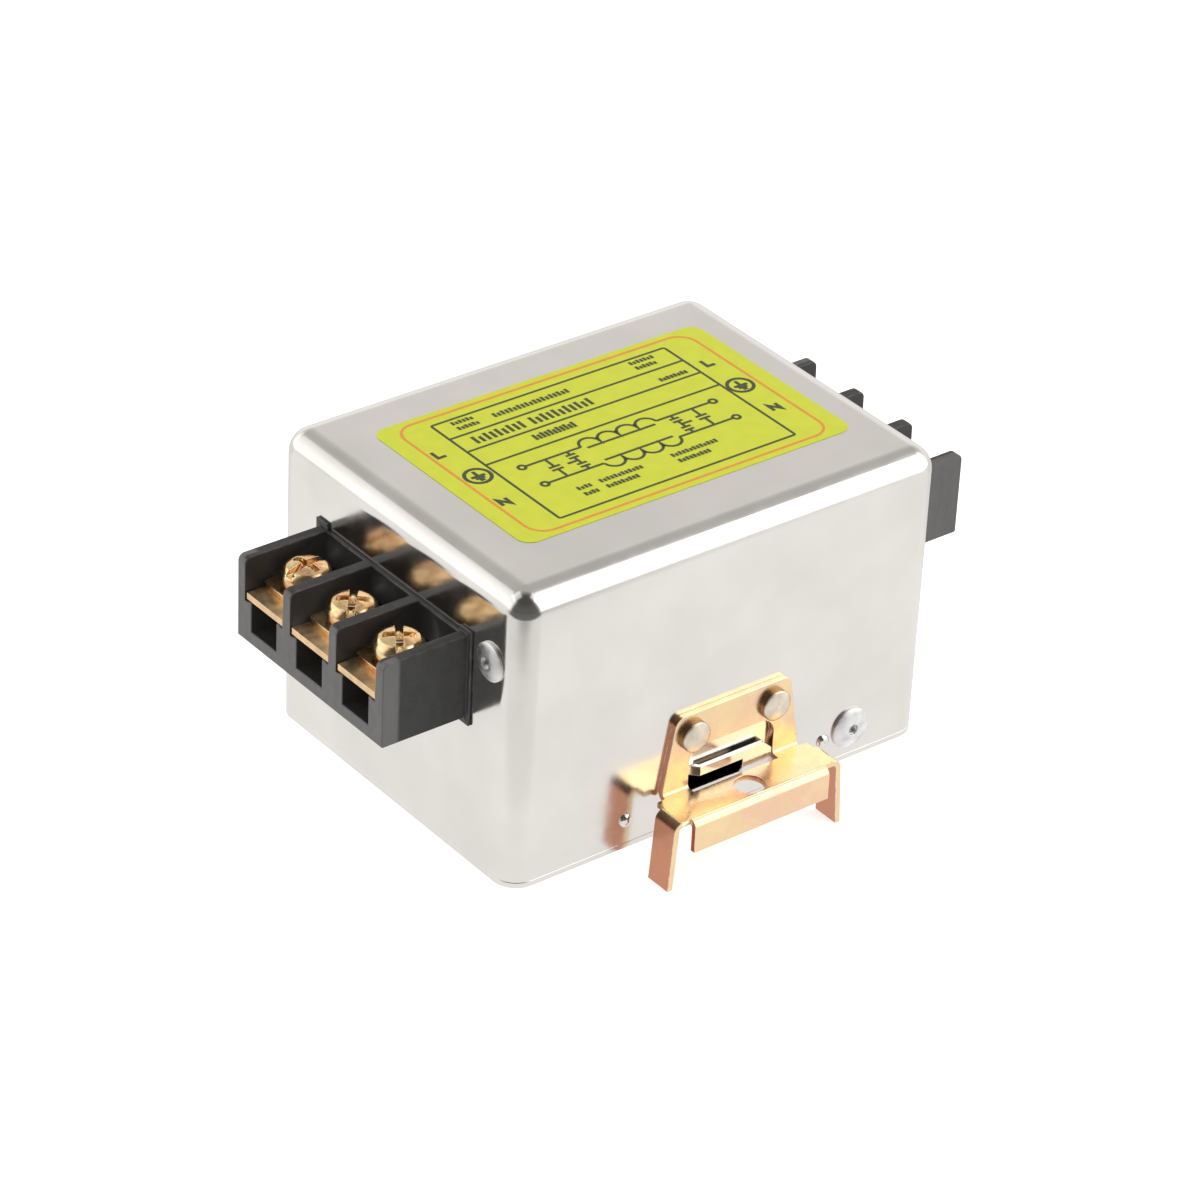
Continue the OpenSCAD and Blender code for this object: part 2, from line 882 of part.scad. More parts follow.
module board_screws()
    color("silver")
        at_pillars()
            translate([0, 0, base_t + pillar_h + board_t]) {
                rivet_dome(board_screw_d * 1.9, board_screw_d * 0.6);
                translate([0, 0, -board_t - pillar_h + 1])
                    cylinder(d = board_screw_d, h = board_t + pillar_h - 1);
            }

// Moulded foot of the choke with a web across its bore that parts the windings
module choke_carrier() {
    web_l = core_bore_d - 2 * winding_gap;
    color("ivory")
        translate([0, 0, board_top]) {
            cylinder(r = carrier_r, h = carrier_t);
            translate([-web_l / 2, -0.8, 0])
                cube([web_l, 1.6, carrier_t + wire_t + winding_gap + core_h]);
        }
}

module choke_core()
    color("dimgray")
        translate([0, 0, core_z])
            difference() {
                cylinder(d = core_d, h = core_h, $fn = 96);
                translate([0, 0, -over])
                    cylinder(d = core_bore_d, h = core_h + 2 * over, $fn = 96);
            }

// One winding: square-wire turns spread over one side of the core
module winding(start) {
    spread = 132;
    step = spread / (turn_count - 1);
    turn_w = (core_d - core_bore_d) / 2 + 2 * winding_gap;
    turn_h = core_h + 2 * winding_gap;
    for (i = [0 : turn_count - 1])
        translate([0, 0, core_z + core_h / 2])
            rotate([0, 0, start + i * step])
                translate([(core_d + core_bore_d) / 4, wire_t / 2, 0])
                    rotate([90, 0, 0])
                        linear_extrude(wire_t)
                            difference() {
                                square([turn_w + 2 * wire_t, turn_h + 2 * wire_t], center = true);
                                square([turn_w, turn_h], center = true);
                            }
}

module line_winding() color("peru") winding(24);
module neutral_winding() color("peru") winding(204);

// Box capacitor that stands across the line beside an end wall
module x_capacitor(side)
    color("gold")
        translate([side * x_cap_x, 0, board_top])
            round_plate(x_cap_t, x_cap_w, x_cap_h, 1);

module input_x_capacitor() x_capacitor(-1);
module output_x_capacitor() x_capacitor(1);

// Disc capacitor on two wires, from one line to earth
module y_capacitor(side)
    color("royalblue")
        translate([small_part_x, side * small_part_y, board_top]) {
            translate([0, y_cap_t / 2, y_cap_d / 2 + 1])
                rotate([90, 0, 0])
                    cylinder(d = y_cap_d, h = y_cap_t);
            for (x = sides)
                translate([x * y_cap_d / 4, 0, 0])
                    cylinder(d = 0.8, h = y_cap_d / 2);
        }

module line_y_capacitor() y_capacitor(1);
module neutral_y_capacitor() y_capacitor(-1);

// Resistor that discharges the capacitors, on two bent wires
module bleed_resistor() {
    axis_z = board_top + resistor_d / 2 + 0.6;
    wire_x = resistor_l / 2 + 2;
    color("tan")
        translate([-small_part_x, small_part_y, 0]) {
            translate([-resistor_l / 2, 0, axis_z])
                rotate([0, 90, 0])
                    cylinder(d = resistor_d, h = resistor_l);
            translate([-wire_x, 0, axis_z])
                rotate([0, 90, 0])
                    cylinder(d = 0.8, h = 2 * wire_x);
            for (side = sides)
                translate([side * wire_x, 0, board_top])
                    cylinder(d = 0.8, h = axis_z - board_top + 0.4);
        }
}

// Wires from the strips' tags straight down to the board
module lead_wires()
    color("firebrick")
        for (pole = poles)
            translate([-lead_x, pole * pole_pitch, board_top - case_z - block_z])
                cylinder(d = lead_d, h = seat_h + case_z + block_z - board_top);

module input_lead_wires() at_end(-1) lead_wires();
module output_lead_wires() at_end(1) lead_wires();

case_cover();
base_plate();
cover_rivets();
rating_label();
input_terminal_block();
output_terminal_block();
input_terminal_strips();
output_terminal_strips();
input_clamp_plates();
output_clamp_plates();
input_spring_washers();
output_spring_washers();
input_terminal_screws();
output_terminal_screws();
input_block_rivets();
output_block_rivets();
front_rail_clip();
rear_rail_clip();
front_clip_rivets();
rear_clip_rivets();
circuit_board();
board_pillars();
board_screws();
choke_carrier();
choke_core();
line_winding();
neutral_winding();
input_x_capacitor();
output_x_capacitor();
line_y_capacitor();
neutral_y_capacitor();
bleed_resistor();
input_lead_wires();
output_lead_wires();
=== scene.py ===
"""Finishes, fine shapes, print and studio of a single-phase EMI line filter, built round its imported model."""
import itertools
import math

import bmesh
import bpy
from bpy.props import FloatProperty, FloatVectorProperty, PointerProperty
from mathutils import Matrix, Vector


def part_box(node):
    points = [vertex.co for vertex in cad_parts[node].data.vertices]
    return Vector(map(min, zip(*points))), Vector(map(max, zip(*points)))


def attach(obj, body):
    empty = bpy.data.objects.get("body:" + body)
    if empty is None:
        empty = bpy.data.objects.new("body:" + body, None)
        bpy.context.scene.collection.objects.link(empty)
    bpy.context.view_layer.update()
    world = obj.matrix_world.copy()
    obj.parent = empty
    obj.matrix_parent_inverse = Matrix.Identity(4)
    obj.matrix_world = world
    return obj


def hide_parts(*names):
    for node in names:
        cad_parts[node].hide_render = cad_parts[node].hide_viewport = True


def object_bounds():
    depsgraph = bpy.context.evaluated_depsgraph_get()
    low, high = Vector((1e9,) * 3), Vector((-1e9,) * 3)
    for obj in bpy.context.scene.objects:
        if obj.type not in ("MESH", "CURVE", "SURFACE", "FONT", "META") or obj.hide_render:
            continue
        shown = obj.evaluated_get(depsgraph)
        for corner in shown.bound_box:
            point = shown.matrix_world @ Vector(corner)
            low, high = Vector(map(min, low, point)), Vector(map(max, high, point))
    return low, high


bl_info = {
    "name": "EMI Line Filter Finishes",
    "version": (1, 0, 0),
    "blender": (4, 5, 0),
    "location": "3D View > Sidebar > Line Filter",
    "description": "Gives the packed line filter its plating, plastics, print and studio",
    "category": "Object",
}

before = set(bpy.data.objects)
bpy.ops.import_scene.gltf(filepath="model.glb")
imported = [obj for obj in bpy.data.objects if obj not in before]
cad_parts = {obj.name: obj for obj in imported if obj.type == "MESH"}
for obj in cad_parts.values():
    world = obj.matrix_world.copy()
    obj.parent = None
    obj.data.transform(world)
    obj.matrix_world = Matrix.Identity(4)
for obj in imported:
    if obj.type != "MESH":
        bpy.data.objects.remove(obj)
cad_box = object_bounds()

BODY = "root"
MM = 0.001

# Mesh clean-up: how near two corners merge, and the angles below which facets are one flat,
# above which edges are rounded, and below which two sharp edges that meet stay sharp
MERGED = 0.006 * MM
FLAT = math.radians(1)
SHARP = math.radians(30)
NARROW = math.radians(10)

# Label, in mm: length, width and corner radius of the line round the print and of the panel,
# heights of the lines across the panel, and the height and pitch of the strokes of words
BORDER = (70, 45.5, 4)
PANEL = (56, 40.4, 0.4)
PANEL_ROWS = (14.2, 8.6, 2.8)
SMALL_PRINT = (1.2, 0.85)
LARGE_PRINT = (2.7, 1.35)

# Step in height from one printed line to the next, so that no two share a plane
STAGGER = 0.0004 * MM

# Colour where the chromate is rubbed off an edge
RUBBED_ZINC = (0.92, 0.82, 0.66)

# Softboxes: azimuth and elevation in degrees, length and height, brightness
LAMP_DISTANCE = 1.3
SOFTBOXES = (
    ("front_softbox", 50, 28, (1.4, 1.4), 1.05),
    ("side_softbox", -132, 23, (1.9, 1.1), 0.42),
    ("front_wing", 38, 53, (0.75, 0.8), 0.8),
    ("side_wing", -116, 53, (0.75, 0.8), 0.55),
)

# Dark part of the room behind the camera: the elevation of its middle, and the cosines of the
# angle between which the room turns dark, from that middle and from the level direction
DARK_HEIGHT = math.radians(48)
DARK_ABOVE = (0.6, 0.86)
DARK_LEVEL = (0.38, 0.56)

# Levels of the mirrored floor, and the reaches toward the camera between which they change
FLOOR_LEVELS = (
    (1, 0.88, 75 * MM, 100 * MM),
    (0.84, 1, -75 * MM, -40 * MM),
)


# ---------------------------------------------------------------- sizes and colours

def tint(name, description, default):
    """A colour that the sidebar shows as a swatch."""
    return FloatVectorProperty(name=name, description=description, default=default,
                               size=3, min=0, max=1, subtype="COLOR")


def length(name, description, default):
    """A length in metres."""
    return FloatProperty(name=name, description=description, default=default,
                         min=0, subtype="DISTANCE", unit="LENGTH")


def point(name, description, default):
    """A point in metres."""
    return FloatVectorProperty(name=name, description=description, default=default,
                               size=3, subtype="TRANSLATION", unit="LENGTH")


def share(name, description, default):
    """A number from 0 to 1."""
    return FloatProperty(name=name, description=description, default=default,
                         min=0, max=1, subtype="FACTOR")


def angle(name, description, degrees):
    """An angle, given in degrees."""
    return FloatProperty(name=name, description=description, default=math.radians(degrees),
                         subtype="ANGLE", unit="ROTATION")


class CaseSettings(bpy.types.PropertyGroup):
    """The nickel-plated can, its base plate and its rivets."""
    plating: tint("Plating", "Colour of the nickel plating", (0.80, 0.77, 0.725))
    polish: share("Roughness", "Roughness of the plating", 0.17)
    edge: length("Edge radius", "Radius broken on the sheet's cut edges", 0.12 * MM)
    wave: length("Waviness", "Depth of the slow waves that drawing leaves in the walls", 0.05 * MM)
    slot_top: length("Slot top", "Height of the top of the slots behind the clips", 18.1 * MM)
    slot_drop: length("Slot drop", "How far the slots' tops are pressed down", 1.2 * MM)
    rivet: tint("Rivet alloy", "Colour of the blind rivets", (0.88, 0.87, 0.86))


class LabelSettings(bpy.types.PropertyGroup):
    """The rating label and its print."""
    film: tint("Film", "Colour of the label's film", (0.60, 0.64, 0.03))
    border_ink: tint("Border ink", "Colour of the thin line round the print", (0.72, 0.25, 0.03))
    ink: tint("Ink", "Colour of the schematic, its frame and the marks", (0.035, 0.05, 0.012))
    ink_height: length("Ink height", "How far the ink stands above the film", 0.03 * MM)
    fine_line: length("Fine line", "Width of the schematic's lines", 0.6 * MM)
    frame_line: length("Frame line", "Width of the frame's and the border's lines", 0.55 * MM)
    bold_line: length("Bold line", "Width of the strokes of the marks and the largest words", 0.75 * MM)


class BlockSettings(bpy.types.PropertyGroup):
    """The barrier terminal blocks."""
    moulding: tint("Moulding", "Colour of the moulding compound", (0.026, 0.0245, 0.024))
    # painted light: a paler colour that stands in for the light falling from the left on the blocks' outer ends
    painted_light: tint("Rubbed", "Colour of the moulding's rubbed outer end", (0.135, 0.13, 0.125))
    gloss: share("Roughness", "Roughness of the moulding", 0.42)
    # painted light: how far each block's painted paler end reaches, and how bright the output block's is
    # painted
    painted_light_l: length("Rubbed length", "Length of the input block's paler end", 3.6 * MM)
    far_painted_light_l: length("Far rubbed length", "Length of the output block's paler end", 12 * MM)
    far_shade: share("Far shade", "Brightness of the output block's paler end", 0.78)
    edge: length("Edge radius", "Radius on the mouldings' edges", 0.25 * MM)


class HardwareSettings(bpy.types.PropertyGroup):
    """Screws, washers, clamp plates and strips."""
    zinc: tint("Yellow zinc", "Colour of the plated screws and clamp plates", (0.97, 0.76, 0.42))
    blush: tint("Blush", "Colour that the zinc drifts to in patches", (0.80, 0.42, 0.20))
    brass: tint("Brass", "Colour of the terminal strips", (0.93, 0.66, 0.38))
    edge: length("Edge radius", "Radius broken on edges of the hardware", 0.12 * MM)


class ClipSettings(bpy.types.PropertyGroup):
    """The rail clips and their rivets."""
    chromate: tint("Chromate", "Colour of the clips' yellow chromate", (0.92, 0.70, 0.41))
    blush: tint("Blush", "Colour that the chromate drifts to in patches", (0.92, 0.62, 0.42))
    # painted shade: a browner colour on the clips' faces along X, for the shade that those faces reflect from
    # under the case
    ends: tint("Cut ends", "Browner colour of the chromate on the faces along X", (0.58, 0.26, 0.16))
    # painted shade: a darker colour on the flat rivets' sides, for the shadow at their heads' edges
    painted_rim_shade: tint("Rivet rims", "Colour of the burnished sides of the flat rivets", (0.34, 0.22, 0.15))
    rivet: tint("Rivets", "Colour of the flat rivets", (0.83, 0.74, 0.60))
    edge: length("Edge radius", "Radius broken on the folded sheet's edges", 0.15 * MM)


class InnerSettings(bpy.types.PropertyGroup):
    """What the case holds."""
    laminate: tint("Laminate", "Colour of the circuit board", (0.03, 0.14, 0.05))
    copper: tint("Copper", "Colour of the enamelled wire", (0.62, 0.24, 0.08))
    ferrite: tint("Ferrite", "Colour of the choke core", (0.06, 0.06, 0.065))
    alloy: tint("Alloy", "Colour of the board's pillars and screws", (0.75, 0.75, 0.74))
    carrier: tint("Carrier", "Colour of the choke's carrier", (0.75, 0.71, 0.6))
    box: tint("Capacitor boxes", "Colour of the capacitors between the lines", (0.62, 0.38, 0.02))
    dip: tint("Capacitor dip", "Colour of the capacitors to earth", (0.02, 0.09, 0.33))
    paint: tint("Resistor paint", "Colour of the bleed resistor", (0.5, 0.36, 0.18))
    jacket: tint("Wire jackets", "Colour of the lead wires", (0.25, 0.015, 0.012))


class StageSettings(bpy.types.PropertyGroup):
    """Camera, floor and lights."""
    azimuth: angle("Azimuth", "Turn of the camera round the filter", -38.996)
    elevation: angle("Elevation", "Height of the camera above the horizon", 31.83)
    roll: angle("Roll", "Turn of the camera about its own axis", 2.855)
    target: point("Target", "What the camera looks at", (7.35 * MM, 10.23 * MM, 24.75 * MM))
    distance: length("Distance", "Distance of the camera from what it looks at", 0.953)
    lens: FloatProperty(name="Focal length", description="Focal length on a 36 mm sensor",
                        default=146.04, min=10, subtype="DISTANCE_CAMERA")
    room: tint("Room", "Colour of the light that fills the room", (1.0, 0.99, 0.975))
    fill: share("Fill", "Strength of the room's light", 0.8)
    glow: share("Floor glow", "Light that the floor adds for the camera", 0.6)
    mirrored: share("Mirrored floor", "Evenness of the floor's light in mirrors", 0.9)
    sheet: length("Sheet", "Reach of the white sheet toward the camera in mirrors", 150 * MM)


SETTINGS = {
    "filter_case": CaseSettings,
    "filter_label": LabelSettings,
    "filter_blocks": BlockSettings,
    "filter_hardware": HardwareSettings,
    "filter_clips": ClipSettings,
    "filter_inner": InnerSettings,
    "filter_stage": StageSettings,
}


# ---------------------------------------------------------------- mesh helpers

def finished_piece(name, mesh):
    """An object at the origin that rides with the filter."""
    piece = bpy.data.objects.new(name, mesh)
    bpy.context.scene.collection.objects.link(piece)
    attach(piece, BODY)
    return piece


def lower_slots(shape, slot_top, drop):
    """Lowers the top edge of the slots behind the clips, so that the lanced tongues hide it."""
    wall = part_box("base_plate")[1].y
    near = 0.1 * MM
    sheet = 2 * MM
    for vert in shape.verts:
        if abs(vert.co.z - slot_top) < near and abs(abs(vert.co.y) - wall) < sheet:
            vert.co.z -= drop


def proud_edges(shape):
    """The sharp edges that stand proud, without those that run into one another at a narrow angle."""
    sharp = {edge for edge in shape.edges
             if len(edge.link_faces) == 2 and edge.is_convex and edge.calc_face_angle() > SHARP}
    narrow = set()
    for vert in shape.verts:
        ends = [edge for edge in vert.link_edges if edge in sharp]
        ways = [edge.other_vert(vert).co - vert.co for edge in ends]
        for first, second in itertools.combinations(range(len(ends)), 2):
            if ways[first].angle(ways[second]) < NARROW:
                narrow |= {ends[first], ends[second]}
    return list(sharp - narrow)


def softened(node, width, segments=2, slots=None, even=True):
    """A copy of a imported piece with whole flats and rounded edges, in that piece's stead."""
    shape = bmesh.new()
    shape.from_mesh(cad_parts[node].data)
    bmesh.ops.remove_doubles(shape, verts=shape.verts, dist=MERGED)
    bmesh.ops.dissolve_limit(shape, angle_limit=FLAT, verts=shape.verts, edges=shape.edges)
    if slots:
        lower_slots(shape, *slots)
    worn = shape.faces.layers.float.new("worn_edge")
    made = bmesh.ops.bevel(shape, geom=proud_edges(shape), offset=width, offset_type="OFFSET",
                           segments=segments, profile=0.5, affect="EDGES", clamp_overlap=False,
                           material=-1)
    for face in shape.faces:
        face.smooth = True
    for face in made["faces"]:
        face[worn] = 1
    mesh = bpy.data.meshes.new(node + "_finished")
    shape.to_mesh(mesh)
    shape.free()
    piece = finished_piece(node + "_finished", mesh)
    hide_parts(node)
    if even:
        flats = piece.modifiers.new("even_flats", "WEIGHTED_NORMAL")
        flats.weight = 100
    return piece


def coat(piece, material):
    """Puts a material in the slots of a piece."""
    if not piece.data.materials:
        piece.data.materials.append(material)
    for index in range(len(piece.data.materials)):
        piece.data.materials[index] = material


def coat_nodes(nodes, material):
    """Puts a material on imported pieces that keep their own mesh."""
    for node in nodes:
        coat(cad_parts[node], material)


# ---------------------------------------------------------------- label drawing, in mm from its middle

def round_outline(span_x, span_y, radius, steps=6):
    """Points of a rectangle with round corners."""
    points = []
    for turn in range(4):
        centre_x = (span_x / 2 - radius) * (1 if turn in (0, 3) else -1)
        centre_y = (span_y / 2 - radius) * (1 if turn < 2 else -1)
        for step in range(steps + 1):
            bearing = (turn + step / steps) * math.pi / 2
            points.append((centre_x + radius * math.cos(bearing), centre_y + radius * math.sin(bearing)))
    return points


def level_line(x_from, x_to, y):
    """A line along the label."""
    return [(x_from, y), (x_to, y)]


def coil(x_from, y, bumps, radius, side):
    """A coil as a schematic draws it: half rounds in a row on one side of a wire."""
    points = [(x_from, y)]
    for bump in range(bumps):
        centre = x_from + (2 * bump + 1) * radius
        for step in range(1, 9):
            bearing = math.pi * (1 - step / 8)
            points.append((centre + radius * math.cos(bearing), y + side * radius * math.sin(bearing)))
    return points


def capacitor(x, y_from, y_to, plate):
    """A capacitor between two wires: two leads and two plates."""
    middle = (y_from + y_to) / 2
    gap = 0.55
    return [[(x, y_from), (x, middle + gap)], level_line(x - plate / 2, x + plate / 2, middle + gap),
            level_line(x - plate / 2, x + plate / 2, middle - gap), [(x, middle - gap), (x, y_to)]]


def word(x, y, strokes, height, pitch):
    """A row of upright strokes that stands for a word."""
    lines = []
    for stroke in range(strokes):
        top = y + height / 2 * (1, 0.55, 1, 0.8)[stroke % 4]
        lines.append([(x + stroke * pitch, y - height / 2), (x + stroke * pitch, top)])
    return lines


def letter_l(x, y, size):
    """The mark of the line terminal."""
    left = x - size * 0.35
    return [[(left, y + size / 2), (left, y - size / 2), (x + size * 0.4, y - size / 2)]]


def letter_n(x, y, size):
    """The mark of the neutral terminal."""
    left = x - size * 0.4
    right = x + size * 0.4
    return [[(left, y - size / 2), (left, y + size / 2), (right, y - size / 2), (right, y + size / 2)]]


def earth_mark(x, y, size):
    """The mark of the earth terminal inside a ring."""
    ring = [(x + px, y + py) for px, py in round_outline(size, size, size * 0.499, 5)]
    lines = [ring + ring[:1], [(x, y + size * 0.34), (x, y - size * 0.02)]]
    for rung in range(3):
        half = size * (0.3 - 0.1 * rung)
        lines.append(level_line(x - half, x + half, y - size * (0.02 + 0.14 * rung)))
    return lines


def schematic():
    """Two wires through a pair of coupled coils, with capacitors across and to earth on both sides."""
    top = -1.6
    foot = -8.8
    middle = (top + foot) / 2
    wire_x = 22
    coil_x = 9
    core_x = 8.1
    core_gap = 0.9
    across_x = 17.5
    earth_x = 12.4
    earth_end_x = 14.8
    ring_x = 22.8
    lines = []
    for wire, side in ((top, 1), (foot, -1)):
        lines += [level_line(-wire_x, -coil_x, wire), coil(-coil_x, wire, 4, coil_x / 4, side),
                  level_line(coil_x, wire_x, wire)]
    for wire in (top - core_gap, foot + core_gap):
        lines.append(level_line(-core_x, core_x, wire))
    for side in (-1, 1):
        lines += capacitor(side * across_x, top, foot, 2.6)
        lines += capacitor(side * earth_x, top, middle, 2.2)
        lines += capacitor(side * earth_x, middle, foot, 2.2)
        lines.append(level_line(side * earth_x, side * earth_end_x, middle))
        for wire in (top, foot):
            ring = [(side * ring_x + px, wire + py) for px, py in round_outline(1.5, 1.5, 0.74, 3)]
            lines.append(ring + ring[:1])
    return lines


def small_words():
    """The small rows of print above and below the schematic."""
    lines = []
    for row in range(2):
        head = 18.7 - 2.1 * row
        foot = -13.6 - 2.3 * row
        for x, y, strokes in ((-24, head, 6), (18.6, head, 7 - row), (-18.6, foot, 4),
                              (-13.4, foot, 12 - 3 * row), (3.6, foot, 13 - 4 * row)):
            lines += word(x, y, strokes, *SMALL_PRINT)
    lines += word(-15.4, 17.0, 19, 1.5, 0.95)
    lines += word(-14, 6.0, 11, 2.0, 0.9)
    lines += word(19.6, 10.4, 8, *SMALL_PRINT)
    return lines


def large_words():
    """The two largest words, one after the other."""
    return word(-24, 11.4, 9, *LARGE_PRINT) + word(-10.6, 11.4, 11, *LARGE_PRINT)


def terminal_marks():
    """The marks of the line and neutral terminals at both ends of the label."""
    lines = []
    for side in (-1, 1):
        x = side * 32.2 - 0.8
        lines += letter_l(x, 10.9, 2.4) + letter_n(x, -9.8, 2.2)
    return lines


def earth_marks():
    """The marks of the earth terminals at both ends of the label."""
    return earth_mark(-31.5, 0.4, 5.2) + earth_mark(31.2, 0.4, 5.2)


def print_lines(name, lines, width, level, height, material):
    """Lays lines of ink on the label, each a ribbon on its edge that is thickened to the line's width."""
    low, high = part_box("rating_label")
    middle = (low + high) / 2
    shape = bmesh.new()
    for order, points in enumerate(lines):
        base = level + order * STAGGER
        verts = [shape.verts.new((middle.x + x * MM, middle.y + y * MM, base)) for x, y in points]
        closed = points[0] == points[-1]
        if closed:
            shape.verts.remove(verts.pop())
        for first, second in zip(verts, verts[1:] + verts[:1] if closed else verts[1:]):
            shape.edges.new((first, second))
    made = bmesh.ops.extrude_edge_only(shape, edges=shape.edges[:])
    raised = [part for part in made["geom"] if isinstance(part, bmesh.types.BMVert)]
    bmesh.ops.translate(shape, verts=raised, vec=(0, 0, height))
    bmesh.ops.recalc_face_normals(shape, faces=shape.faces)
    mesh = bpy.data.meshes.new(name)
    shape.to_mesh(mesh)
    shape.free()
    piece = finished_piece(name, mesh)
    thick = piece.modifiers.new("line_width", "SOLIDIFY")
    thick.thickness = width
    thick.offset = 0
    thick.use_even_offset = True
    coat(piece, material)


# ---------------------------------------------------------------- material helpers

def new_material(name, colour, metallic, roughness):
    """A material with its plain values on the shader, and the tree and shader to add to."""
    material = bpy.data.materials.new(name)
    material.use_nodes = True
    tree = material.node_tree
    shader = tree.nodes["Principled BSDF"]
    shader.inputs["Base Color"].default_value = (*colour, 1)
    shader.inputs["Metallic"].default_value = metallic
    shader.inputs["Roughness"].default_value = roughness
    return material, tree, shader


def noise(tree, size, detail=2.0, stretch=(1, 1, 1), twist=0.0):
    """Noise on the piece's own coordinates, with features about size metres across."""
    place = tree.nodes.new("ShaderNodeTexCoord")
    mapping = tree.nodes.new("ShaderNodeMapping")
    mapping.inputs["Scale"].default_value = [1 / s for s in stretch]
    texture = tree.nodes.new("ShaderNodeTexNoise")
    texture.inputs["Scale"].default_value = 1 / size
    texture.inputs["Detail"].default_value = detail
    texture.inputs["Distortion"].default_value = twist
    tree.links.new(place.outputs["Object"], mapping.inputs["Vector"])
    tree.links.new(mapping.outputs["Vector"], texture.inputs["Vector"])
    return texture.outputs["Fac"]


def spread(tree, value, low, high, start=0.3, end=0.7):
    """Maps start to end, which default to the middle of a noise, onto low to high, and clamps."""
    node = tree.nodes.new("ShaderNodeMapRange")
    node.inputs["From Min"].default_value = start
    node.inputs["From Max"].default_value = end
    node.inputs["To Min"].default_value = low
    node.inputs["To Max"].default_value = high
    tree.links.new(value, node.inputs["Value"])
    return node.outputs["Result"]


def blend_colours(tree, factor, first, second):
    """Blends two colours, or a colour socket and a colour, by a factor."""
    node = tree.nodes.new("ShaderNodeMix")
    node.data_type = "RGBA"
    tree.links.new(factor, node.inputs["Factor"])
    for socket, value in ((node.inputs["A"], first), (node.inputs["B"], second)):
        if isinstance(value, bpy.types.NodeSocket):
            tree.links.new(value, socket)
        else:
            socket.default_value = (*value, 1)
    return node.outputs["Result"]


def blend_values(tree, factor, first, second):
    """Blends two values, each a socket or a number, by a factor."""
    node = tree.nodes.new("ShaderNodeMix")
    tree.links.new(factor, node.inputs["Factor"])
    for socket, value in ((node.inputs["A"], first), (node.inputs["B"], second)):
        if isinstance(value, bpy.types.NodeSocket):
            tree.links.new(value, socket)
        else:
            socket.default_value = value
    return node.outputs["Result"]


def add_bump(tree, shader, height, depth):
    """Lays a bump over whatever bump the shader already has."""
    node = tree.nodes.new("ShaderNodeBump")
    node.inputs["Strength"].default_value = 1
    node.inputs["Distance"].default_value = depth
    tree.links.new(height, node.inputs["Height"])
    if shader.inputs["Normal"].is_linked:
        tree.links.new(shader.inputs["Normal"].links[0].from_socket, node.inputs["Normal"])
    tree.links.new(node.outputs["Normal"], shader.inputs["Normal"])


def worn_edges(tree):
    """The share of edge wear that softened pieces carry."""
    node = tree.nodes.new("ShaderNodeAttribute")
    node.attribute_name = "worn_edge"
    return node.outputs["Fac"]


def combined(tree, operation, first, second):
    """Two shares joined by a maths operation."""
    node = tree.nodes.new("ShaderNodeMath")
    node.operation = operation
    for index, value in enumerate((first, second)):
        if isinstance(value, bpy.types.NodeSocket):
            tree.links.new(value, node.inputs[index])
        else:
            node.inputs[index].default_value = value
    return node.outputs["Value"]


def extent(tree, output, axis):
    """How far a point or a normal reaches along an axis, either way."""
    place = tree.nodes.new("ShaderNodeTexCoord")
    split = tree.nodes.new("ShaderNodeSeparateXYZ")
    tree.links.new(place.outputs[output], split.inputs["Vector"])
    return combined(tree, "ABSOLUTE", split.outputs[axis], 0)


def beyond(tree, axis, limit, soft):
    """1 further than limit from the middle along an axis, 0 nearer, with a soft step."""
    return spread(tree, extent(tree, "Object", axis), 0, 1, limit - soft, limit + soft)


def facing(tree, axis):
    """1 on faces that look along an axis, 0 on the others."""
    return spread(tree, extent(tree, "Normal", axis), 0, 1, 0.5, 0.8)


def dotted(tree, vector, direction):
    """The share of a vector along a direction."""
    node = tree.nodes.new("ShaderNodeVectorMath")
    node.operation = "DOT_PRODUCT"
    node.inputs[1].default_value = direction
    tree.links.new(vector, node.inputs[0])
    return node.outputs["Value"]


def shaded(colour, factor):
    """A colour made darker or lighter by a factor."""
    return tuple(min(1, c * factor) for c in colour)


def mottled(tree, colour, patch, detail, low, high):
    """A colour that drifts from darker to lighter in patches."""
    drift = spread(tree, noise(tree, patch, detail), 0, 1)
    return blend_colours(tree, drift, shaded(colour, low), shaded(colour, high))


def uneven(tree, shader, value, roughness, low, high):
    """A roughness that a noise moves from low to high times its plain value."""
    tree.links.new(spread(tree, value, roughness * low, roughness * high), shader.inputs["Roughness"])


# ---------------------------------------------------------------- materials

def nickel_plate(settings):
    """Bright nickel on drawn steel: slow waves, faint draw lines and an uneven satin."""
    material, tree, shader = new_material("nickel_plate", settings.plating, 1, settings.polish)
    body = mottled(tree, settings.plating, 16 * MM, 3, 0.95, 1.03)
    tree.links.new(body, shader.inputs["Base Color"])
    uneven(tree, shader, noise(tree, 5 * MM, detail=5), settings.polish, 0.8, 1.3)
    add_bump(tree, shader, noise(tree, 26 * MM, detail=1), settings.wave)
    add_bump(tree, shader, noise(tree, 0.9 * MM, detail=2, stretch=(1, 1, 18)), 0.0009 * MM)
    add_bump(tree, shader, noise(tree, 0.35 * MM, detail=2), 0.0006 * MM)
    return material


def plain_metal(name, colour, roughness, grain, painted_rim_shade=None):
    """Soft bright alloy with handling marks and, if asked, painted shade on the sides round an axis along Y."""
    material, tree, shader = new_material(name, colour, 1, roughness)
    cloud = noise(tree, 2.5 * MM, detail=4)
    body = blend_colours(tree, spread(tree, cloud, 0, 1), shaded(colour, 0.74), shaded(colour, 1.08))
    if painted_rim_shade:
        # painted shade: the sides, which do not face along Y, take the darker colour
        body = blend_colours(tree, combined(tree, "SUBTRACT", 1, facing(tree, "Y")), body, painted_rim_shade)
    tree.links.new(body, shader.inputs["Base Color"])
    uneven(tree, shader, cloud, roughness, 0.75, 1.35)
    add_bump(tree, shader, noise(tree, 0.5 * MM, detail=3), grain)
    return material


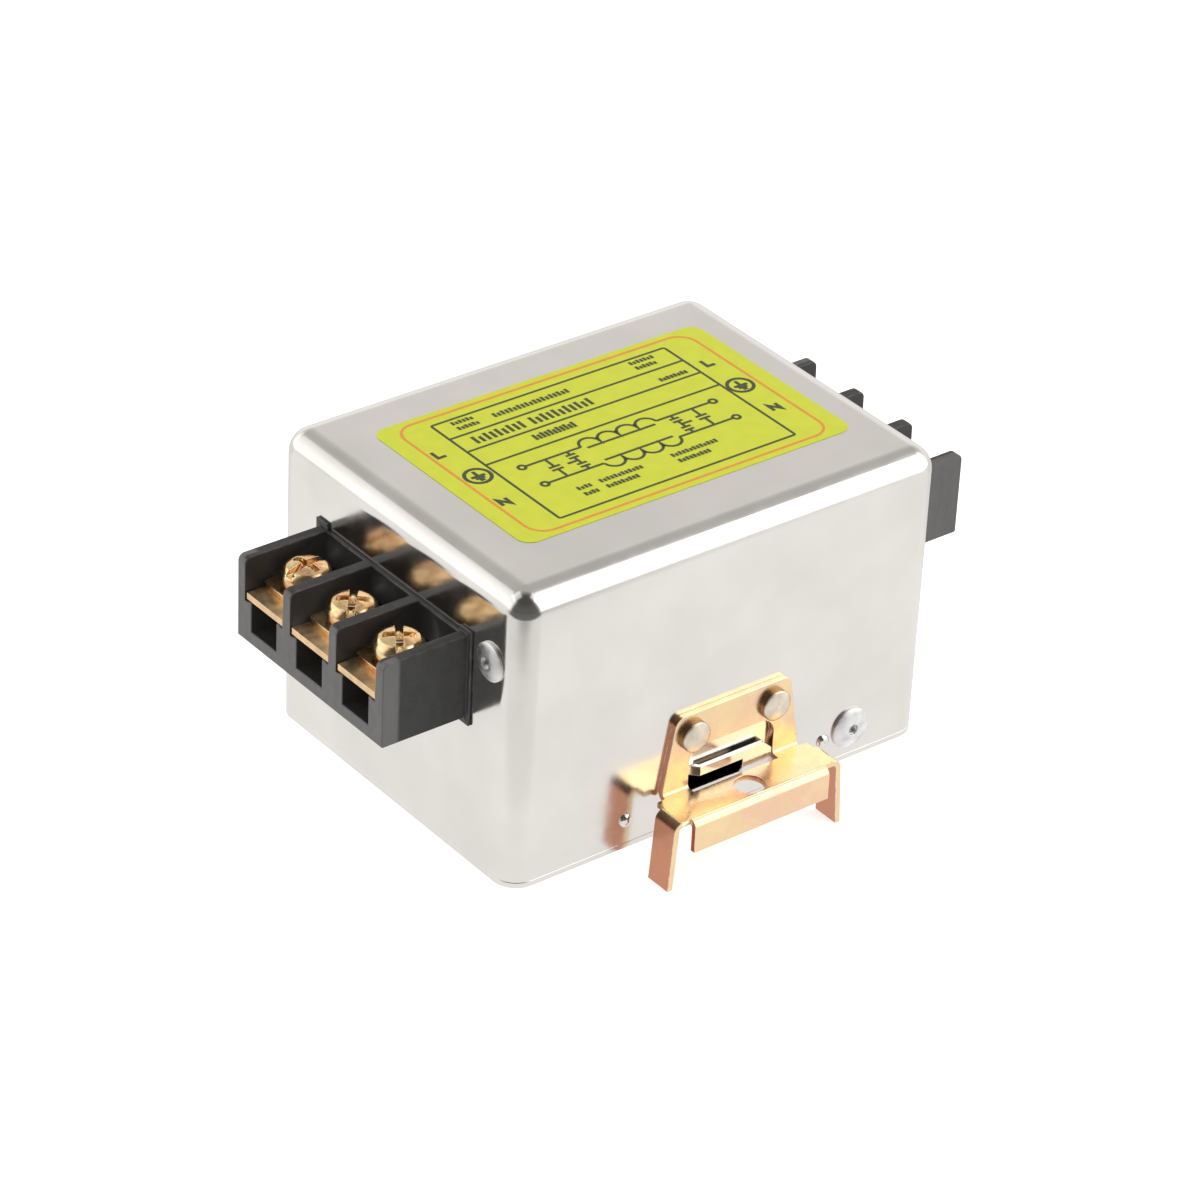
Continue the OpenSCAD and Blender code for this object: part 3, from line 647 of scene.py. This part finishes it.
def yellow_plate(name, colour, blush, roughness, patch, ends=None):
    """Chromate that drifts between yellow and pink, paler on worn edges, and, if asked, browner on the faces
    along X as painted shade.
    """
    material, tree, shader = new_material(name, colour, 1, roughness)
    drift = spread(tree, noise(tree, patch, detail=3, twist=0.8), 0, 1, start=0.38, end=0.64)
    body = blend_colours(tree, drift, colour, blush)
    haze = spread(tree, noise(tree, patch * 0.35, detail=4), 0, 0.45, start=0.45)
    body = blend_colours(tree, haze, body, shaded(colour, 1.1))
    # painted shade: the faces along X take the browner colour
    if ends:
        body = blend_colours(tree, facing(tree, "X"), body, ends)
    wear = combined(tree, "MULTIPLY", worn_edges(tree), spread(tree, noise(tree, 1.5 * MM, detail=3), 0, 0.8))
    tree.links.new(blend_colours(tree, wear, body, RUBBED_ZINC), shader.inputs["Base Color"])
    uneven(tree, shader, noise(tree, 3 * MM, detail=4), roughness, 0.75, 1.4)
    add_bump(tree, shader, noise(tree, 7 * MM, detail=1), 0.02 * MM)
    add_bump(tree, shader, noise(tree, 0.5 * MM, detail=3), 0.0012 * MM)
    return material


def black_moulding(settings, name, painted_light_l, shade):
    """Black moulding compound with a fine sparked texture, paler edges, and painted light: a paler outer end
    and paler faces along X, as lit from the left.
    """
    material, tree, shader = new_material(name, settings.moulding, 0, settings.gloss)
    body = mottled(tree, settings.moulding, 6 * MM, 3, 0.85, 1.2)
    outer_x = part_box("output_terminal_block")[1].x
    cells_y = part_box("output_terminal_strips")[1].y + 1.2 * MM
    # painted light: the outer end's flanks and its faces along X are painted paler, as lit from the left
    end = beyond(tree, "X", outer_x - painted_light_l, 0.35 * MM)
    flank = beyond(tree, "Y", cells_y, 0.2 * MM)
    painted_light = combined(tree, "MULTIPLY", end, combined(tree, "MAXIMUM", flank, facing(tree, "X")))
    streaks = spread(tree, noise(tree, 1.6 * MM, detail=4, stretch=(1, 1, 6)), 0.8, 1)
    pale = shaded(settings.painted_light, shade)
    body = blend_colours(tree, combined(tree, "MULTIPLY", painted_light, streaks), body, pale)
    wear = combined(tree, "MULTIPLY", worn_edges(tree), spread(tree, noise(tree, 2 * MM, detail=4), 0.1, 0.8))
    tree.links.new(blend_colours(tree, wear, body, shaded(settings.moulding, 4)), shader.inputs["Base Color"])
    uneven(tree, shader, noise(tree, 1.2 * MM, detail=4), settings.gloss, 0.85, 1.25)
    add_bump(tree, shader, noise(tree, 0.22 * MM, detail=2), 0.004 * MM)
    return material


def film(settings):
    """Printed film: even colour with a faint mottle and a satin face."""
    material, tree, shader = new_material("label_film", settings.film, 0, 0.38)
    shader.inputs["Specular IOR Level"].default_value = 0.35
    body = mottled(tree, settings.film, 3 * MM, 4, 0.96, 1.03)
    tree.links.new(body, shader.inputs["Base Color"])
    tree.links.new(spread(tree, noise(tree, 1.5 * MM, detail=3), 0.33, 0.46), shader.inputs["Roughness"])
    add_bump(tree, shader, noise(tree, 12 * MM, detail=1), 0.012 * MM)
    return material


def printed_ink(name, colour):
    """Screen-printed ink, a little uneven in its cover."""
    material, tree, shader = new_material(name, colour, 0, 0.4)
    tree.links.new(mottled(tree, colour, 0.5 * MM, 3, 0.93, 1.12), shader.inputs["Base Color"])
    return material


def inner_material(name, colour, roughness, metallic=0):
    """Plain mottled finish for what the closed case holds."""
    material, tree, shader = new_material(name, colour, metallic, roughness)
    tree.links.new(mottled(tree, colour, 1 * MM, 3, 0.85, 1.12), shader.inputs["Base Color"])
    add_bump(tree, shader, noise(tree, 0.5 * MM, detail=2), 0.01 * MM)
    return material


# ---------------------------------------------------------------- pieces

class FILTER_OT_case(bpy.types.Operator):
    """Makes the nickel-plated cover and base plate"""
    bl_idname = "line_filter.case"
    bl_label = "Case"

    def execute(self, context):
        settings = context.scene.filter_case
        plate = nickel_plate(settings)
        slots = (settings.slot_top, settings.slot_drop)
        coat(softened("case_cover", settings.edge, slots=slots), plate)
        coat(softened("base_plate", settings.edge), plate)
        return {"FINISHED"}


class FILTER_OT_case_rivets(bpy.types.Operator):
    """Makes the blind rivets of the cover and of the terminal blocks"""
    bl_idname = "line_filter.case_rivets"
    bl_label = "Case Rivets"

    def execute(self, context):
        settings = context.scene.filter_case
        alloy = plain_metal("rivet_alloy", settings.rivet, roughness=0.42, grain=0.004 * MM)
        for node in ("cover_rivets", "input_block_rivets", "output_block_rivets"):
            coat(softened(node, settings.edge), alloy)
        return {"FINISHED"}


class FILTER_OT_label(bpy.types.Operator):
    """Makes the rating label"""
    bl_idname = "line_filter.label"
    bl_label = "Rating Label"

    def execute(self, context):
        settings = context.scene.filter_label
        low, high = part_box("rating_label")
        sunk = 2 * settings.ink_height + 0.04 * MM
        piece = softened("rating_label", 0.03 * MM, segments=1)
        for vert in piece.data.vertices:
            if vert.co.z > (low.z + high.z) / 2:
                vert.co.z -= sunk
        coat(piece, film(settings))
        orange = printed_ink("border_ink", settings.border_ink)
        dark = printed_ink("dark_ink", settings.ink)
        border = round_outline(*BORDER)
        panel = round_outline(*PANEL, steps=2)
        rows = [level_line(-PANEL[0] / 2, PANEL[0] / 2, y) for y in PANEL_ROWS]
        prints = (
            ("label_border", [border + border[:1]], settings.frame_line, orange),
            ("label_panel", [panel + panel[:1], *rows], settings.frame_line, dark),
            ("label_schematic", schematic() + small_words(), settings.fine_line, dark),
            ("label_marks", large_words() + terminal_marks(), settings.bold_line, dark),
            ("label_earth_marks", earth_marks(), settings.bold_line, dark),
        )
        for name, lines, width, ink in prints:
            print_lines(name, lines, width, high.z - sunk, settings.ink_height, ink)
        return {"FINISHED"}


class FILTER_OT_terminal_blocks(bpy.types.Operator):
    """Makes the two barrier terminal blocks"""
    bl_idname = "line_filter.terminal_blocks"
    bl_label = "Terminal Blocks"

    def execute(self, context):
        settings = context.scene.filter_blocks
        # painted light: each block's painted paler end, with its length and its brightness
        ends = (("input", settings.painted_light_l, 1), ("output", settings.far_painted_light_l, settings.far_shade))
        for end, painted_light_l, shade in ends:
            moulding = black_moulding(settings, end + "_moulding", painted_light_l, shade)
            coat(softened(end + "_terminal_block", settings.edge), moulding)
        return {"FINISHED"}


class FILTER_OT_terminal_hardware(bpy.types.Operator):
    """Makes the strips, clamp plates, spring washers and screws"""
    bl_idname = "line_filter.terminal_hardware"
    bl_label = "Terminal Hardware"

    def execute(self, context):
        settings = context.scene.filter_hardware
        brass = plain_metal("terminal_brass", settings.brass, roughness=0.4, grain=0.003 * MM)
        zinc = yellow_plate("screw_zinc", settings.zinc, settings.blush, roughness=0.2, patch=2.5 * MM)
        for end in ("input", "output"):
            coat(softened(end + "_terminal_strips", settings.edge), brass)
            coat(softened(end + "_clamp_plates", settings.edge), zinc)
            coat(softened(end + "_terminal_screws", settings.edge, even=False), zinc)
            coat_nodes([end + "_spring_washers"], zinc)
        return {"FINISHED"}


class FILTER_OT_rail_clips(bpy.types.Operator):
    """Makes the folded rail clips and their flat rivets"""
    bl_idname = "line_filter.rail_clips"
    bl_label = "Rail Clips"

    def execute(self, context):
        settings = context.scene.filter_clips
        chromate = yellow_plate("clip_chromate", settings.chromate, settings.blush, roughness=0.26,
                                patch=14 * MM, ends=settings.ends)
        alloy = plain_metal("clip_rivet_alloy", settings.rivet, roughness=0.3, grain=0.004 * MM,
                            painted_rim_shade=settings.painted_rim_shade)
        for wall in ("front", "rear"):
            coat(softened(wall + "_rail_clip", settings.edge), chromate)
            coat(softened(wall + "_clip_rivets", settings.edge), alloy)
        return {"FINISHED"}


class FILTER_OT_inner_pieces(bpy.types.Operator):
    """Finishes the circuit that the closed case holds"""
    bl_idname = "line_filter.inner_pieces"
    bl_label = "Inner Pieces"

    def execute(self, context):
        settings = context.scene.filter_inner
        finishes = (
            (inner_material("board_laminate", settings.laminate, 0.45), ("circuit_board",)),
            (inner_material("pillar_alloy", settings.alloy, 0.35, metallic=1),
             ("board_pillars", "board_screws")),
            (inner_material("carrier_moulding", settings.carrier, 0.5), ("choke_carrier",)),
            (inner_material("core_ferrite", settings.ferrite, 0.6), ("choke_core",)),
            (inner_material("enamelled_copper", settings.copper, 0.3, metallic=1),
             ("line_winding", "neutral_winding")),
            (inner_material("capacitor_box", settings.box, 0.35),
             ("input_x_capacitor", "output_x_capacitor")),
            (inner_material("capacitor_dip", settings.dip, 0.3),
             ("line_y_capacitor", "neutral_y_capacitor")),
            (inner_material("resistor_paint", settings.paint, 0.5), ("bleed_resistor",)),
            (inner_material("wire_jacket", settings.jacket, 0.45),
             ("input_lead_wires", "output_lead_wires")),
        )
        for material, nodes in finishes:
            coat_nodes(nodes, material)
        return {"FINISHED"}


# ---------------------------------------------------------------- studio

def aimed_back(azimuth, elevation):
    """The direction from the filter to a camera or lamp."""
    return Vector((math.sin(azimuth) * math.cos(elevation),
                   -math.cos(azimuth) * math.cos(elevation), math.sin(elevation)))


def aiming(azimuth, elevation, roll=0.0):
    """The turn that makes a camera or lamp in that direction look at the filter."""
    return (Matrix.Rotation(azimuth, 4, "Z") @ Matrix.Rotation(math.pi / 2 - elevation, 4, "X")
            @ Matrix.Rotation(roll, 4, "Z"))


def add_camera(settings):
    """The camera at the product's usual angle."""
    data = bpy.data.cameras.new("product_camera")
    data.lens = settings.lens
    data.sensor_width = 36
    data.clip_start = 0.01
    camera = bpy.data.objects.new("product_camera", data)
    bpy.context.scene.collection.objects.link(camera)
    back = aimed_back(settings.azimuth, settings.elevation)
    place = Vector(settings.target) + settings.distance * back
    camera.matrix_world = (Matrix.Translation(place)
                           @ aiming(settings.azimuth, settings.elevation, settings.roll))
    bpy.context.scene.camera = camera


def add_softbox(name, azimuth, elevation, size, brightness):
    """A white softbox that faces the middle of the filter."""
    azimuth = math.radians(azimuth)
    elevation = math.radians(elevation)
    data = bpy.data.lights.new(name, "AREA")
    data.shape = "RECTANGLE"
    data.size, data.size_y = size
    data.energy = brightness * math.pi * data.size * data.size_y
    lamp = bpy.data.objects.new(name, data)
    bpy.context.scene.collection.objects.link(lamp)
    low, high = cad_box
    place = (low + high) / 2 + LAMP_DISTANCE * aimed_back(azimuth, elevation)
    lamp.matrix_world = Matrix.Translation(place) @ aiming(azimuth, elevation)


def seen(tree, path):
    """1 for rays from the camera, straight or through something clear."""
    return combined(tree, "MAXIMUM", path.outputs["Is Camera Ray"], path.outputs["Is Transmission Ray"])


def studio_world(settings):
    """A white room, dimmer overhead and dark behind the camera, with an even level for its soft light."""
    world = bpy.data.worlds.new("studio_room")
    bpy.context.scene.world = world
    world.use_nodes = True
    tree = world.node_tree
    background = tree.nodes["Background"]
    background.inputs["Color"].default_value = (*settings.room, 1)
    place = tree.nodes.new("ShaderNodeTexCoord")
    split = tree.nodes.new("ShaderNodeSeparateXYZ")
    tree.links.new(place.outputs["Generated"], split.inputs["Vector"])
    ceiling = spread(tree, split.outputs["Z"], 1, 0.5, start=0.3, end=0.72)
    above = dotted(tree, place.outputs["Generated"], aimed_back(settings.azimuth, DARK_HEIGHT))
    level_with = dotted(tree, place.outputs["Generated"], aimed_back(settings.azimuth, 0))
    behind = combined(tree, "MINIMUM", spread(tree, above, 1, 0.12, *DARK_ABOVE),
                      spread(tree, level_with, 1, 0.12, *DARK_LEVEL))
    mirrored = combined(tree, "MULTIPLY", ceiling, behind)
    path = tree.nodes.new("ShaderNodeLightPath")
    lit = blend_values(tree, path.outputs["Is Glossy Ray"], settings.fill, mirrored)
    level = blend_values(tree, seen(tree, path), lit, 1)
    tree.links.new(level, background.inputs["Strength"])


def floor_material(settings):
    """White floor that shows as white, takes a soft shadow, and darkens toward the camera in mirrors."""
    material, tree, shader = new_material("floor_white", (0.84, 0.84, 0.835), 0, 0.9)
    shader.inputs["Specular IOR Level"].default_value = 0
    path = tree.nodes.new("ShaderNodeLightPath")
    place = tree.nodes.new("ShaderNodeTexCoord")
    near = aimed_back(settings.azimuth, 0)
    reach = dotted(tree, place.outputs["Object"], near)
    bearing = tree.nodes.new("ShaderNodeVectorMath")
    bearing.operation = "NORMALIZE"
    tree.links.new(place.outputs["Object"], bearing.inputs[0])
    ahead = dotted(tree, bearing.outputs["Vector"], near)
    level = combined(tree, "MAXIMUM",
                     spread(tree, reach, 1, 0.08, settings.sheet, settings.sheet + 20 * MM),
                     spread(tree, ahead, 1, 0.08, *DARK_LEVEL))
    for change in FLOOR_LEVELS:
        level = combined(tree, "MULTIPLY", level, spread(tree, reach, *change))
    mirrored = combined(tree, "MULTIPLY", path.outputs["Is Glossy Ray"], settings.mirrored)
    mottle = spread(tree, noise(tree, 90 * MM, detail=2), 0, 1)
    plain = blend_colours(tree, mottle, (0.83, 0.83, 0.825), (0.85, 0.85, 0.845))
    tree.links.new(blend_colours(tree, mirrored, plain, (0, 0, 0)), shader.inputs["Base Color"])
    glow = combined(tree, "ADD", combined(tree, "MULTIPLY", seen(tree, path), settings.glow),
                    combined(tree, "MULTIPLY", mirrored, level))
    shader.inputs["Emission Color"].default_value = (1, 1, 1, 1)
    tree.links.new(glow, shader.inputs["Emission Strength"])
    return material


def add_floor(settings):
    """A round floor under the filter."""
    shape = bmesh.new()
    bmesh.ops.create_circle(shape, cap_ends=True, segments=96, radius=4)
    mesh = bpy.data.meshes.new("studio_floor")
    shape.to_mesh(mesh)
    shape.free()
    mesh.transform(Matrix.Translation((0, 0, cad_box[0].z)))
    floor = bpy.data.objects.new("studio_floor", mesh)
    bpy.context.scene.collection.objects.link(floor)
    coat(floor, floor_material(settings))


class FILTER_OT_stage(bpy.types.Operator):
    """Makes the floor, the room, the lamps and the camera"""
    bl_idname = "line_filter.stage"
    bl_label = "Stage"

    def execute(self, context):
        settings = context.scene.filter_stage
        add_floor(settings)
        studio_world(settings)
        for softbox in SOFTBOXES:
            add_softbox(*softbox)
        add_camera(settings)
        context.scene.view_settings.view_transform = "Standard"
        return {"FINISHED"}


STEPS = (FILTER_OT_case, FILTER_OT_case_rivets, FILTER_OT_label, FILTER_OT_terminal_blocks,
         FILTER_OT_terminal_hardware, FILTER_OT_rail_clips, FILTER_OT_inner_pieces, FILTER_OT_stage)


class FILTER_PT_steps(bpy.types.Panel):
    """Lists the steps that dress the filter"""
    bl_idname = "FILTER_PT_steps"
    bl_label = "Line Filter"
    bl_space_type = "VIEW_3D"
    bl_region_type = "UI"
    bl_category = "Line Filter"

    def draw(self, context):
        for step in STEPS:
            self.layout.operator(step.bl_idname)
        for name, group in SETTINGS.items():
            box = self.layout.box()
            for prop in group.__annotations__:
                box.prop(getattr(context.scene, name), prop)


CLASSES = (*SETTINGS.values(), *STEPS, FILTER_PT_steps)


def register():
    """Adds the classes and hangs the settings on the scene."""
    for cls in CLASSES:
        bpy.utils.register_class(cls)
    for name, group in SETTINGS.items():
        setattr(bpy.types.Scene, name, PointerProperty(type=group))


def unregister():
    """Takes the settings and the classes away again."""
    for name in SETTINGS:
        delattr(bpy.types.Scene, name)
    for cls in reversed(CLASSES):
        bpy.utils.unregister_class(cls)


def main():
    """Dresses the filter step by step."""
    register()
    for step in STEPS:
        group, name = step.bl_idname.split(".")
        getattr(getattr(bpy.ops, group), name)()


if __name__ == "__main__":
    main()
